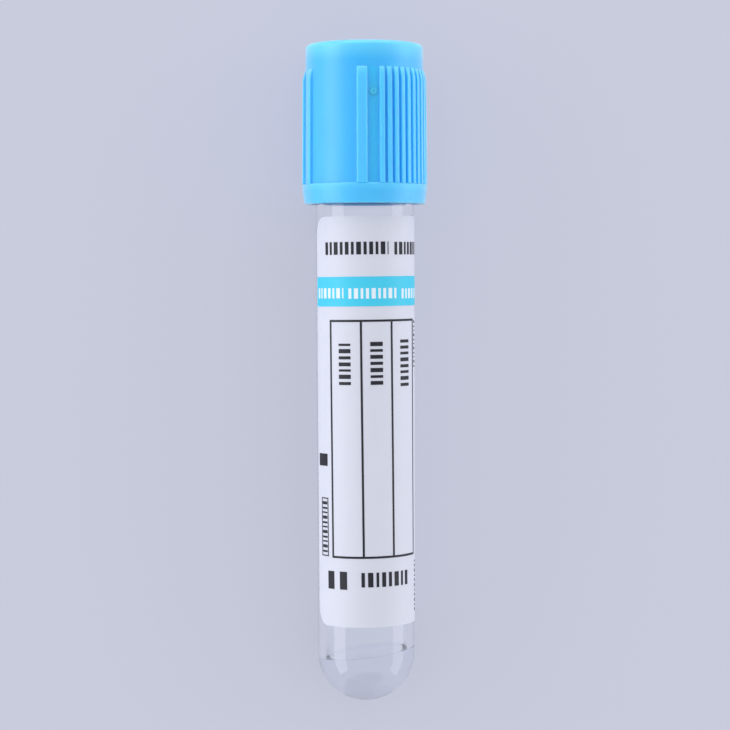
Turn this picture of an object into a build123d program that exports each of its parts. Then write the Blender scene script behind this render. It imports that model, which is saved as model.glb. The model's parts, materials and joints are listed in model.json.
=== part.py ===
from build123d import *
import os
from math import asin, atan, cos, degrees, hypot, radians, sin, tan

# A 13 x 75 mm evacuated blood collection tube with a push-on closure, lying on its side.
# It rests on its round end and on two of the closure's grip ribs, which keep it from rolling.
# A station is a distance along the tube's axis from the outside tip of the round end.
# An angle about the axis is zero at the front of the label and grows towards +X.

# --- tube ---------------------------------------------------------------------------------
tube_length = 75.0
tube_mouth_radius = 6.5
tube_end_radius = 6.44
tube_wall = 0.95
tube_rim_bevel = 0.3
gate_dimple_radius = 0.6
gate_dimple_depth = 0.15

# --- solution in the round end --------------------------------------------------------------
solution_drop = 0.04
solution_film = 0.02
meniscus_rise = 0.75
meniscus_reach = 1.1

# --- closure cap ----------------------------------------------------------------------------
cap_length = 21.05
cap_overlap = 8.9
cap_top_radius = 7.77
cap_foot_radius = 7.87
cap_top_bevel = 0.5
skirt_clearance = 0.35
skirt_lead_in = 0.3
grip_radius = 8.29
band_radius = 8.18
band_height = 2.6
band_taper_height = 1.65
band_taper_depth = 0.24
band_top_bevel = 0.12
rib_length = 14.95
rib_top_bevel = 0.42
rib_flank_angle = 84.0
rib_root = 0.3
wide_rib_width = 1.34
narrow_rib_width = 0.63
narrow_rib_count = 12
narrow_rib_pitch = 7.2
narrow_rib_start = 16.7
wide_rib_angles = (-65.1, -2.25)
repeat_angles = (0.0, 180.0)
gate_mark_angle = 8.5
gate_mark_drop = 6.7
gate_mark_radius = 0.45
gate_mark_height = 0.2
port_radius = 5.5
port_depth = 4.45
port_bevel = 0.5
chamber_radius = 5.15
web_radius = 4.4
web_thickness = 1.4

# --- rubber stopper -------------------------------------------------------------------------
plug_length = 7.5
plug_clearance = 0.06
plug_waist_depth = 0.14
plug_ring_height = 1.5
plug_lead_in = 0.9
collar_thickness = 2.0
collar_clearance = 0.2
neck_clearance = 0.1
head_recess = 0.2
head_clearance = 0.2
head_bevel = 0.5
well_radius = 2.8
well_depth = 2.4
cavity_radius = 3.4
cavity_depth = 8.0
cavity_bevel = 0.8

# --- label and its printed fields -------------------------------------------------------------
label_foot = 10.6
label_height = 53.8
label_thickness = 0.08
label_clearance = 0.01
label_left_angle = -72.5
label_wrap_angle = 307.0
label_corner_radius = 2.4
print_thickness = 0.03
print_clearance = 0.01
band_print_drop = 7.9
band_print_height = 3.85
ruling_drop = 1.75
ruling_rise = 9.05
ruling_weight = 0.28
ruling_start_angle = -42.4
ruling_pitch_angle = 38.15
ruling_line_count = 4
register_mark_rise = 12.05
register_mark_height = 1.6
register_mark_angle = -69.5
register_mark_sweep = 19.3
print_margin_angle = 1.5

# --- how it lies, and where its half sections are drawn -----------------------------------------
section_angle = 90.0
cap_foot = tube_length - cap_overlap
cap_top = cap_foot + cap_length
band_top = cap_foot + band_height
rest_wide_edge = wide_rib_angles[-1] + degrees(asin(wide_rib_width / 2 / grip_radius))
rest_narrow_edge = narrow_rib_start - degrees(asin(narrow_rib_width / 2 / grip_radius))
underside_angle = repeat_angles[-1] + (rest_wide_edge + rest_narrow_edge) / 2
rest_depth = grip_radius * cos(radians(rest_narrow_edge - rest_wide_edge) / 2)
rest_run = band_top - tube_end_radius
rest_angle = atan(rest_depth / rest_run) - asin(tube_end_radius / hypot(rest_run, rest_depth))
back_end = tube_end_radius * (cos(rest_angle) - 1)
front_end = cap_top * cos(rest_angle) + (cap_top_radius - cap_top_bevel) * sin(rest_angle)
tip = Vector(
    0,
    -(back_end + front_end) / 2,
    tube_end_radius * (1 - sin(rest_angle)),
)
along = Vector(0, cos(rest_angle), sin(rest_angle))
upward = Vector(0, -sin(rest_angle), cos(rest_angle))
sideways = Vector(1, 0, 0)
tube_axis = Axis(tip, along)


def outward(angle):
    """The direction away from the axis at an angle about it."""
    turn = radians(angle - underside_angle)
    return -upward * cos(turn) - sideways * sin(turn)


def across(station):
    """The plane square to the axis at a station, with its x at angle zero."""
    return Plane(origin=tip + along * station, x_dir=outward(0), z_dir=along)


def lengthwise(angle):
    """The plane through the axis whose x is the radius at an angle and y the station."""
    radius = outward(angle)
    return Plane(origin=tip, x_dir=radius, z_dir=radius.cross(along))


def barrel_radius(station):
    """The tube's outside radius, which its draft lets grow from the round end to the mouth."""
    share = (station - tube_end_radius) / (tube_length - tube_end_radius)
    return tube_end_radius + share * (tube_mouth_radius - tube_end_radius)


def drafted_line(start, end):
    """A wall's straight drafted line, as a spline through its two ends."""
    Spline(start, end)


half_section = lengthwise(section_angle)

# --- tube: one drafted moulding with a round end and a bevelled mouth ----------------------------
bore_end_radius = tube_end_radius - tube_wall
bore_mouth_radius = tube_mouth_radius - tube_wall
rim_foot = tube_length - tube_rim_bevel

with BuildPart() as tube:
    with BuildSketch(half_section):
        with BuildLine():
            outer_end = CenterArc((0, tube_end_radius), tube_end_radius, -90, 90)
            inner_end = CenterArc((0, tube_end_radius), bore_end_radius, -90, 90)
            drafted_line(outer_end @ 1, (tube_mouth_radius, rim_foot))
            Polyline(
                (tube_mouth_radius, rim_foot),
                (tube_mouth_radius - tube_rim_bevel, tube_length),
                (bore_mouth_radius + tube_rim_bevel, tube_length),
                (bore_mouth_radius, rim_foot),
            )
            drafted_line((bore_mouth_radius, rim_foot), inner_end @ 1)
            Line(inner_end @ 0, outer_end @ 0)
        make_face()
    revolve(axis=tube_axis)
    with BuildSketch(across(0)):
        Circle(gate_dimple_radius)
    extrude(amount=gate_dimple_depth, mode=Mode.SUBTRACT)
tube.part.label = "tube"

# --- solution: the liquid that fills the round end to just below where the wall starts ------------
solution_radius = bore_end_radius - solution_film
solution_level = tube_end_radius - solution_drop

with BuildPart() as citrate_solution:
    with BuildSketch(half_section):
        with BuildLine():
            pool = CenterArc((0, tube_end_radius), solution_radius, -90, 90)
            contact = (solution_radius, solution_level + meniscus_rise)
            dip = (solution_radius - meniscus_reach, solution_level)
            Polyline(pool @ 1, contact, dip, (0, solution_level), pool @ 0)
        make_face()
    revolve(axis=tube_axis)
citrate_solution.part.label = "citrate_solution"

# --- closure cap: ribs first, trimmed to a turned envelope, then the shell and its bores ----------
rib_top = band_top + rib_length
skirt_radius = tube_mouth_radius + skirt_clearance
collar_foot = tube_length
web_foot = collar_foot + collar_thickness
web_top = web_foot + web_thickness
port_floor = cap_top - port_depth
rib_root_radius = cap_top_radius - rib_root
rib_block_depth = grip_radius + rib_root - rib_root_radius
rib_block_radius = rib_root_radius + rib_block_depth / 2
rib_flank_run = (grip_radius - rib_root_radius) / tan(radians(rib_flank_angle))
narrow_rib_sweep = narrow_rib_pitch * (narrow_rib_count - 1)


def rib_outline(face_width):
    """The section of a rib, whose flanks lean in to its width at the grip radius."""
    root_width = face_width + 2 * rib_flank_run
    Trapezoid(root_width, rib_block_depth, rib_flank_angle, rotation=-90)


with BuildPart() as cap:
    with BuildSketch(across(band_top)):
        for repeat in repeat_angles:
            for wide_angle in wide_rib_angles:
                with PolarLocations(rib_block_radius, 1, start_angle=repeat + wide_angle):
                    rib_outline(wide_rib_width)
            with PolarLocations(
                rib_block_radius,
                narrow_rib_count,
                start_angle=repeat + narrow_rib_start,
                angular_range=narrow_rib_sweep,
                endpoint=True,
            ):
                rib_outline(narrow_rib_width)
    extrude(amount=rib_length)
    with BuildSketch(half_section):
        with BuildLine():
            Polyline(
                (0, band_top),
                (grip_radius, band_top),
                (grip_radius, rib_top - rib_top_bevel),
                (grip_radius - rib_top_bevel, rib_top),
                (0, rib_top),
                close=True,
            )
        make_face()
    revolve(axis=tube_axis, mode=Mode.INTERSECT)
    with BuildSketch(half_section):
        with BuildLine():
            Polyline(
                (0, cap_foot),
                (band_radius - band_taper_depth, cap_foot),
                (band_radius, cap_foot + band_taper_height),
                (band_radius, band_top - band_top_bevel),
                (band_radius - band_top_bevel, band_top),
                (cap_foot_radius, band_top),
                (cap_top_radius, cap_top - cap_top_bevel),
                (cap_top_radius - cap_top_bevel, cap_top),
                (0, cap_top),
                close=True,
            )
        make_face()
    revolve(axis=tube_axis)
    with BuildSketch(half_section):
        with BuildLine():
            Polyline(
                (0, cap_foot),
                (skirt_radius + skirt_lead_in, cap_foot),
                (skirt_radius, cap_foot + skirt_lead_in),
                (skirt_radius, web_foot),
                (web_radius, web_foot),
                (web_radius, web_top),
                (chamber_radius, web_top),
                (chamber_radius, port_floor),
                (port_radius, port_floor),
                (port_radius, cap_top - port_bevel),
                (port_radius + port_bevel, cap_top),
                (0, cap_top),
                close=True,
            )
        make_face()
    revolve(axis=tube_axis, mode=Mode.SUBTRACT)
    gate_direction = outward(gate_mark_angle)
    gate_seat = tip + along * (cap_top - gate_mark_drop) + gate_direction * rib_root_radius
    with BuildSketch(Plane(origin=gate_seat, x_dir=along, z_dir=gate_direction)):
        Circle(gate_mark_radius)
    extrude(amount=rib_root + gate_mark_height)
cap.part.label = "cap"

# --- stopper: ringed plug, collar on the tube's rim, neck through the web, pierceable head --------
plug_foot = tube_length - plug_length
bore_slope = (bore_mouth_radius - bore_end_radius) / (tube_length - tube_end_radius)
plug_radius = bore_end_radius + bore_slope * (plug_foot - tube_end_radius) - plug_clearance
plug_waist_radius = plug_radius - plug_waist_depth
collar_radius = skirt_radius - collar_clearance
neck_radius = web_radius - neck_clearance
head_radius = chamber_radius - head_clearance
head_top = port_floor - head_recess
lower_ring_top = plug_foot + plug_lead_in + plug_ring_height
upper_ring_foot = tube_length - plug_ring_height

with BuildPart() as stopper:
    with BuildSketch(half_section):
        with BuildLine():
            Polyline(
                (0, plug_foot),
                (plug_radius - plug_lead_in / 2, plug_foot),
                (plug_radius, plug_foot + plug_lead_in),
                (plug_radius, lower_ring_top),
                (plug_waist_radius, lower_ring_top + plug_waist_depth),
                (plug_waist_radius, upper_ring_foot - plug_waist_depth),
                (plug_radius, upper_ring_foot),
                (plug_radius, collar_foot),
                (collar_radius, collar_foot),
                (collar_radius, web_foot),
                (neck_radius, web_foot),
                (neck_radius, web_top),
                (head_radius, web_top),
                (head_radius, head_top),
                (0, head_top),
                close=True,
            )
        make_face()
    revolve(axis=tube_axis)
    head_edge = stopper.edges().filter_by(GeomType.CIRCLE).sort_by(tube_axis)[-1]
    chamfer(head_edge, length=head_bevel)
    with BuildSketch(across(head_top)):
        Circle(well_radius)
    extrude(amount=-well_depth, mode=Mode.SUBTRACT)
    with BuildSketch(across(plug_foot)):
        Circle(cavity_radius)
    extrude(amount=cavity_depth, mode=Mode.SUBTRACT)
    cavity_roof_edge = stopper.edges(Select.LAST).filter_by(GeomType.CIRCLE).sort_by(tube_axis)[-1]
    chamfer(cavity_roof_edge, length=cavity_bevel)
stopper.part.label = "stopper"


def wrapped_outline(foot, height, inset, thickness):
    """The thin outline, in a plane through the axis, of a piece wrapped on the barrel."""
    foot_radius = barrel_radius(foot) + inset
    top_radius = barrel_radius(foot + height) + inset
    drafted_line((foot_radius, foot), (top_radius, foot + height))
    Line((top_radius, foot + height), (top_radius + thickness, foot + height))
    drafted_line((top_radius + thickness, foot + height), (foot_radius + thickness, foot))
    Line((foot_radius + thickness, foot), (foot_radius, foot))


# --- label: one wrapped sheet with rounded corners and a clear strip at the back -----------------
label_top = label_foot + label_height
label_right_angle = label_left_angle + label_wrap_angle
label_foot_radius = barrel_radius(label_foot) + label_clearance
label_top_radius = barrel_radius(label_top) + label_clearance
label_margin_sweep = degrees(label_corner_radius / label_foot_radius)

with BuildPart() as label:
    for margin_angle in (label_left_angle, label_right_angle - label_margin_sweep):
        with BuildSketch(lengthwise(margin_angle)):
            Polygon(
                (label_foot_radius, label_foot),
                (label_foot_radius + label_thickness, label_foot),
                (label_top_radius + label_thickness, label_top),
                (label_top_radius, label_top),
                align=None,
            )
        revolve(axis=tube_axis, revolution_arc=label_margin_sweep)
    for corner_angle in (label_left_angle, label_right_angle):
        for corner_station in (label_foot, label_top):
            corner = Plane(
                origin=tip + along * corner_station, x_dir=along, z_dir=outward(corner_angle)
            )
            with BuildSketch(corner):
                Rectangle(2 * label_corner_radius, 2 * label_corner_radius)
                with GridLocations(2 * label_corner_radius, 2 * label_corner_radius, 2, 2):
                    Circle(label_corner_radius, mode=Mode.SUBTRACT)
            extrude(amount=2 * tube_mouth_radius, mode=Mode.SUBTRACT)
    with BuildSketch(lengthwise(label_left_angle + label_margin_sweep)):
        with BuildLine():
            wrapped_outline(label_foot, label_height, label_clearance, label_thickness)
        make_face()
    revolve(axis=tube_axis, revolution_arc=label_wrap_angle - 2 * label_margin_sweep)
label.part.label = "label"

# --- printed fields: a coloured band right across, and a ruled table ------------------------------
band_print_sweep = label_wrap_angle - 2 * print_margin_angle
print_inset = label_clearance + label_thickness + print_clearance
band_print_foot = label_top - band_print_drop - band_print_height
ruling_foot = label_foot + ruling_rise
ruling_top = band_print_foot - ruling_drop
register_mark_foot = ruling_foot + register_mark_rise

with BuildPart() as label_band:
    with BuildSketch(lengthwise(label_left_angle + print_margin_angle)):
        with BuildLine():
            wrapped_outline(band_print_foot, band_print_height, print_inset, print_thickness)
        make_face()
    revolve(axis=tube_axis, revolution_arc=band_print_sweep)
label_band.part.label = "label_band"

line_radius = barrel_radius((ruling_foot + ruling_top) / 2) + print_inset
line_sweep = degrees(ruling_weight / line_radius)
ruling_sweep = ruling_pitch_angle * (ruling_line_count - 1) + line_sweep

with BuildPart() as label_ruling:
    for line_foot in (ruling_foot, ruling_top - ruling_weight):
        with BuildSketch(lengthwise(ruling_start_angle - line_sweep / 2)):
            with BuildLine():
                wrapped_outline(line_foot, ruling_weight, print_inset, print_thickness)
            make_face()
        revolve(axis=tube_axis, revolution_arc=ruling_sweep)
    for line in range(ruling_line_count):
        line_angle = ruling_start_angle + ruling_pitch_angle * line
        with BuildSketch(lengthwise(line_angle - line_sweep / 2)):
            with BuildLine():
                wrapped_outline(ruling_foot, ruling_top - ruling_foot, print_inset, print_thickness)
            make_face()
        revolve(axis=tube_axis, revolution_arc=line_sweep)
    with BuildSketch(lengthwise(register_mark_angle)):
        with BuildLine():
            wrapped_outline(register_mark_foot, register_mark_height, print_inset, print_thickness)
        make_face()
    revolve(axis=tube_axis, revolution_arc=register_mark_sweep)
label_ruling.part.label = "label_ruling"

os.makedirs("parts", exist_ok=True)
export_step(tube.part, "parts/tube.step")
export_step(citrate_solution.part, "parts/citrate_solution.step")
export_step(cap.part, "parts/cap.step")
export_step(stopper.part, "parts/stopper.step")
export_step(label.part, "parts/label.step")
export_step(label_band.part, "parts/label_band.step")
export_step(label_ruling.part, "parts/label_ruling.step")
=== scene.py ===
import json
import logging
import math
from dataclasses import dataclass, replace
from enum import Enum
from typing import Any, Iterable, Sequence

import bpy
from mathutils import Matrix, Vector


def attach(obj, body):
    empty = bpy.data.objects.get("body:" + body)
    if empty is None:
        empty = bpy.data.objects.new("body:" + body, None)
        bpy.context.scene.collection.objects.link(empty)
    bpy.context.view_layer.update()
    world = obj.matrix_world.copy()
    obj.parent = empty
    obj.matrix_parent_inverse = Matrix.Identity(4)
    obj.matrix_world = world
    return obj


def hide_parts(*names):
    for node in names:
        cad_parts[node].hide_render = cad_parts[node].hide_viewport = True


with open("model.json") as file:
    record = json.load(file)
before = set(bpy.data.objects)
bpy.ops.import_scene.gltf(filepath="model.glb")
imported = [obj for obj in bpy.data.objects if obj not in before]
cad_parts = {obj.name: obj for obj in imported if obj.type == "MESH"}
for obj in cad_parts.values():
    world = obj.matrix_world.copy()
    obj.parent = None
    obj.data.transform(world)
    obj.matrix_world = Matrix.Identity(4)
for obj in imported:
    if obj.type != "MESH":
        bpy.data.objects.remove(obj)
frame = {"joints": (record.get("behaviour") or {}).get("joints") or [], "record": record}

LOG = logging.getLogger("collection_tube")
MM = 0.001
ON_AXIS = 1e-6
# Mesh attribute that says where the cap's colour gets a painted highlight (above 0) or painted
# fill light (below 0).
PAINTED_LIGHT_MAP = "painted_light_map"
BARREL_MOUNT_STATION = 40.0
UPPERMOST_ANGLE = 8.454
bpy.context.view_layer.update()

Colour = tuple[float, float, float, float]
Profile = list[tuple[float, float]]
Corners = Sequence[tuple[float, float, float]]


class Body(Enum):
    """The bodies that the pieces ride on."""

    TUBE = "tube_body"
    CLOSURE = "closure"


class Slot(Enum):
    """The record's material slots."""

    CLEAR_PLASTIC = "clear_plastic"
    CAP_BLUE = "cap_blue"
    STOPPER_RUBBER = "stopper_rubber"
    LABEL_WHITE = "label_white"
    PRINT_BLUE = "print_blue"
    PRINT_BLACK = "print_black"
    CLEAR_SOLUTION = "clear_solution"


class Ends(Enum):
    """The way that a mesh over rings of points is closed."""

    LOOP = "the last ring joins the first"
    POLES = "the first and last rings are single points"
    FLAT = "a face fills the first and last rings"


class Run(Enum):
    """The way that a row of printed blocks runs."""

    ROUND = "round the barrel"
    ALONG = "along the barrel"


def srgb(red: int, green: int, blue: int) -> Colour:
    """A display colour as the linear colour that a shader socket takes.

    Args:
        red: Red, 0 to 255.
        green: Green, 0 to 255.
        blue: Blue, 0 to 255.

    Returns:
        Linear red, green, blue and an alpha of 1.
    """

    def linear(level: int) -> float:
        """One channel made linear."""
        share = level / 255
        return share / 12.92 if share <= 0.04045 else ((share + 0.055) / 1.055) ** 2.4

    return (linear(red), linear(green), linear(blue), 1.0)


def spread(start: float, end: float, steps: int) -> list[float]:
    """Evenly spaced values from start to end, both included."""
    return [start + (end - start) * k / steps for k in range(steps + 1)]


def quarter(steps: int) -> list[tuple[float, float]]:
    """Sines and cosines of evenly spaced angles from 0 to 90 degrees."""
    turns = [math.radians(a) for a in spread(0.0, 90.0, steps)]
    return [(math.sin(t), math.cos(t)) for t in turns]


# --- the frame's axis, and meshes about it ---------------------------------------------------


@dataclass(frozen=True)
class TubeAxis:
    """The tube's own axis, as it lies in the frame.

    Stations are distances in mm from the tip of the round end. Angles are in degrees about
    the axis, zero at the label's front and growing towards +X.
    """

    tip: Vector
    along: Vector
    front: Vector
    side: Vector

    @classmethod
    def from_frame(cls, mount: str, station: float, joint: str, uppermost: float) -> "TubeAxis":
        """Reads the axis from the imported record.

        Args:
            mount: Name of a mount that lies on the axis.
            station: That mount's station in mm.
            joint: Name of the joint that slides along the axis.
            uppermost: The angle about the axis that lies uppermost, in degrees.

        Returns:
            The axis in the frame.
        """
        slide = next(j for j in frame["joints"] if j["name"] == joint)
        along = Vector(slide["axis"]).normalized()
        seat = next(m for m in frame["record"]["mounts"] if m["name"] == mount)
        tip = Vector(seat["pos_m"]) - along * (station * MM)
        level = Vector((1.0, 0.0, 0.0))
        upward = level.cross(along).normalized()
        cosine, sine = math.cos(math.radians(uppermost)), math.sin(math.radians(uppermost))
        return cls(tip, along, upward * cosine - level * sine, level * cosine + upward * sine)

    def point(self, radius: float, angle: float, station: float) -> Vector:
        """A point in the frame.

        Args:
            radius: Distance from the axis in mm.
            angle: Angle about the axis in degrees.
            station: Distance along the axis in mm.

        Returns:
            The point in metres.
        """
        turn = math.radians(angle)
        out = self.front * math.cos(turn) + self.side * math.sin(turn)
        return self.tip + self.along * (station * MM) + out * (radius * MM)


def soften(corners: Corners, steps: int = 5) -> Profile:
    """Rounds the corners of an open outline.

    Args:
        corners: Radius, station and rounding of each corner, in mm.
        steps: Steps in each rounding.

    Returns:
        The outline as radius and station pairs.
    """
    outline: Profile = []
    for k, (radius, station, rounding) in enumerate(corners):
        here = Vector((radius, station))
        if rounding <= 0 or k in (0, len(corners) - 1):
            outline.append((radius, station))
            continue
        back = (Vector(corners[k - 1][:2]) - here).normalized()
        ahead = (Vector(corners[k + 1][:2]) - here).normalized()
        half = back.angle(ahead) / 2
        reach = rounding / math.tan(half)
        centre = here + (back + ahead).normalized() * (rounding / math.sin(half))
        first, last = here + back * reach - centre, here + ahead * reach - centre
        for share in spread(0.0, 1.0, steps):
            spoke = first.lerp(last, share).normalized() * rounding
            outline.append(tuple(centre + spoke))
    return outline


def dome(radius: float, centre: float, start: float, end: float, steps: int) -> Profile:
    """An arc about a point on the axis.

    Args:
        radius: Radius of the dome in mm.
        centre: Station of its centre.
        start: First angle in degrees, 0 at the tip and 90 at the side.
        end: Last angle in degrees.
        steps: Steps between them.

    Returns:
        The arc as radius and station pairs.
    """
    turns = [math.radians(a) for a in spread(start, end, steps)]
    return [(radius * math.sin(t), centre - radius * math.cos(t)) for t in turns]


def skin(
    name: str, rings: Sequence[Sequence[Vector]], ends: Ends, crease: float
) -> bpy.types.Object:
    """A closed mesh over rings of points.

    Args:
        name: Name of the new object.
        rings: Rings with the same number of points each, apart from poles of one point.
        ends: The way that the mesh is closed.
        crease: Angle in degrees above which an edge is sharp.

    Returns:
        The new object, linked to the scene.
    """
    points = [p for ring in rings for p in ring]
    starts = [sum(len(r) for r in rings[:k]) for k in range(len(rings))]
    pairs = list(zip(range(len(rings) - 1), range(1, len(rings))))
    if ends is Ends.LOOP:
        pairs.append((len(rings) - 1, 0))
    faces: list[tuple[int, ...]] = []
    for low, high in pairs:
        a, b, count = starts[low], starts[high], max(len(rings[low]), len(rings[high]))
        for k in range(count):
            n = (k + 1) % count
            if len(rings[low]) == 1:
                faces.append((a, b + n, b + k))
            elif len(rings[high]) == 1:
                faces.append((a + k, a + n, b))
            else:
                faces.append((a + k, a + n, b + n, b + k))
    if ends is Ends.FLAT:
        faces.append(tuple(reversed(range(len(rings[0])))))
        faces.append(tuple(starts[-1] + k for k in range(len(rings[-1]))))
    mesh = bpy.data.meshes.new(name)
    mesh.from_pydata(points, [], faces)
    mesh.validate()
    mesh.shade_smooth()
    mesh.set_sharp_from_angle(angle=math.radians(crease))
    turn_outward(mesh)
    made = bpy.data.objects.new(name, mesh)
    bpy.context.scene.collection.objects.link(made)
    return made


def turn_outward(mesh: bpy.types.Mesh) -> None:
    """Makes a closed mesh's faces look outwards, judged by its signed volume.

    Args:
        mesh: The mesh.
    """
    mesh.calc_loop_triangles()
    corners = [[mesh.vertices[v].co for v in t.vertices] for t in mesh.loop_triangles]
    if sum(a.dot(b.cross(c)) for a, b, c in corners) < 0:
        mesh.flip_normals()


def turned(
    name: str, axis: TubeAxis, outline: Profile, segments: int = 224, crease: float = 35.0
) -> bpy.types.Object:
    """A closed piece turned about the tube's axis.

    Args:
        name: Name of the new object.
        axis: The tube's axis.
        outline: Radius and station pairs, which start and end on the axis.
        segments: Steps round the axis.
        crease: Angle in degrees above which an edge is sharp.

    Returns:
        The new object.
    """
    rings = []
    for radius, station in outline:
        turns = [0.0] if radius < ON_AXIS else [360 * k / segments for k in range(segments)]
        rings.append([axis.point(radius, a, station) for a in turns])
    return skin(name, rings, Ends.POLES, crease)


def joined(pieces: Sequence[bpy.types.Object]) -> bpy.types.Object:
    """Joins meshes into one object.

    Args:
        pieces: Their objects.

    Returns:
        The first of them, which then holds all the meshes.
    """
    if len(pieces) > 1:
        with bpy.context.temp_override(
            active_object=pieces[0], selected_editable_objects=pieces
        ):
            bpy.ops.object.join()
    return pieces[0]


def dress(
    piece: bpy.types.Object,
    material: bpy.types.Material,
    body: Body,
    nodes: Iterable[str] = (),
) -> None:
    """Gives a piece its finish and body, and hides the solids that it stands for.

    Args:
        piece: The new object, in its place in the frame.
        material: Its finish.
        body: The body that it moves with.
        nodes: Names of the solids that it replaces.
    """
    piece.data.materials.clear()
    piece.data.materials.append(material)
    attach(piece, body.value)
    if nodes:
        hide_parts(*nodes)
    LOG.info("%s: %d faces on %s", piece.name, len(piece.data.polygons), body.value)


# --- finishes --------------------------------------------------------------------------------


def add_node(
    tree: bpy.types.NodeTree,
    kind: str,
    inputs: dict[str | int, Any] | None = None,
    **options: Any,
) -> bpy.types.Node:
    """Adds a shader node.

    Args:
        tree: The nodes that it joins.
        kind: Its type, as Blender names it after the word ShaderNode.
        inputs: What each input takes, by its name or place.
        options: The node's own options.

    Returns:
        The node.
    """
    made = tree.nodes.new(f"ShaderNode{kind}")
    for option, value in options.items():
        setattr(made, option, value)
    fill(tree, made, inputs or {})
    return made


def fill(tree: bpy.types.NodeTree, node: bpy.types.Node, inputs: dict[str | int, Any]) -> None:
    """Fills a node's inputs.

    Args:
        tree: The nodes that it belongs to.
        node: The node.
        inputs: By the input's name or place, a value, or a socket that it is linked from.
    """
    for place, value in inputs.items():
        if isinstance(value, bpy.types.NodeSocket):
            tree.links.new(value, node.inputs[place])
        else:
            node.inputs[place].default_value = value


def moulding_grain() -> bpy.types.NodeTree:
    """The node group for fine grain and slow mottling that every finish shares.

    Returns:
        The group, with the inputs Grain and Mottle in repeats per metre, and the outputs
        Grain Height, Mottle and Speck, each from 0 to 1.
    """
    name = "moulding_grain"
    if name in bpy.data.node_groups:
        return bpy.data.node_groups[name]
    group = bpy.data.node_groups.new(name, "ShaderNodeTree")
    for label, start in (("Grain", 6000.0), ("Mottle", 200.0)):
        socket = group.interface.new_socket(label, in_out="INPUT", socket_type="NodeSocketFloat")
        socket.default_value = start
    for label in ("Grain Height", "Mottle", "Speck"):
        group.interface.new_socket(label, in_out="OUTPUT", socket_type="NodeSocketFloat")
    entry, exit_ = group.nodes.new("NodeGroupInput"), group.nodes.new("NodeGroupOutput")
    place = add_node(group, "TexCoord").outputs["Object"]
    for source, target, detail in (("Grain", "Grain Height", 2.0), ("Mottle", "Mottle", 4.0)):
        values = {"Vector": place, "Scale": entry.outputs[source], "Detail": detail}
        noise = add_node(group, "TexNoise", values | {"Roughness": 0.55})
        fill(group, exit_, {target: noise.outputs["Fac"]})
    values = {"Vector": place, "Scale": entry.outputs["Grain"]}
    cells = add_node(group, "TexVoronoi", values, feature="F1")
    limits = {"From Min": 0.05, "From Max": 0.5}
    edge = add_node(group, "MapRange", limits | {"Value": cells.outputs["Distance"]})
    fill(group, exit_, {"Speck": edge.outputs["Result"]})
    return group


@dataclass(frozen=True)
class Finish:
    """What every finish has: a colour that mottles towards a second one, grain and gloss.

    Attributes:
        name: Name of the surface, from which the material is named.
        colour: Main linear colour.
        second: The colour that the mottling turns towards.
        roughness: Lowest and highest roughness.
        grain: Grain repeats per metre.
        mottle: Mottling repeats per metre.
        relief: Height of the grain in mm.
        relief_strength: Share of the relief that shows.
    """

    name: str
    colour: Colour
    second: Colour
    roughness: tuple[float, float]
    grain: float
    mottle: float
    relief: float
    relief_strength: float

    def constants(self) -> dict[str, Any]:
        """Values that are the same all over, by socket name."""
        return {}

    def colouring(
        self, tree: bpy.types.NodeTree, base: bpy.types.NodeSocket
    ) -> bpy.types.NodeSocket:
        """The colour that the shader takes, which is the mottled colour for a plain finish."""
        return base

    def material(self) -> bpy.types.Material:
        """Builds the material, or finds the one already built.

        Returns:
            The material, with its shader, grain and mottling.
        """
        label = f"{self.name}_finish"
        if label in bpy.data.materials:
            return bpy.data.materials[label]
        made = bpy.data.materials.new(label)
        made.use_nodes = True
        tree = made.node_tree
        grain = add_node(tree, "Group", node_tree=moulding_grain())
        fill(tree, grain, {"Grain": self.grain, "Mottle": self.mottle})
        values = {"A": self.colour, "B": self.second, "Factor": grain.outputs["Mottle"]}
        tint = add_node(tree, "Mix", values, data_type="RGBA")
        low, high = self.roughness
        values = {"To Min": low, "To Max": high, "Value": grain.outputs["Speck"]}
        gloss = add_node(tree, "MapRange", values)
        values = {"Distance": self.relief * MM, "Strength": self.relief_strength}
        bump = add_node(tree, "Bump", values | {"Height": grain.outputs["Grain Height"]})
        values = {
            "Base Color": self.colouring(tree, tint.outputs["Result"]),
            "Roughness": gloss.outputs["Result"],
            "Normal": bump.outputs["Normal"],
        }
        fill(tree, tree.nodes["Principled BSDF"], values | self.constants())
        return made


@dataclass(frozen=True)
class ClearFinish(Finish):
    """A see-through finish, for the moulded plastic and the solution.

    Attributes:
        ior: Index of refraction.
    """

    ior: float = 1.57

    def constants(self) -> dict[str, Any]:
        """Full transmission at the finish's own index."""
        return {"Transmission Weight": 1.0, "IOR": self.ior}


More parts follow.
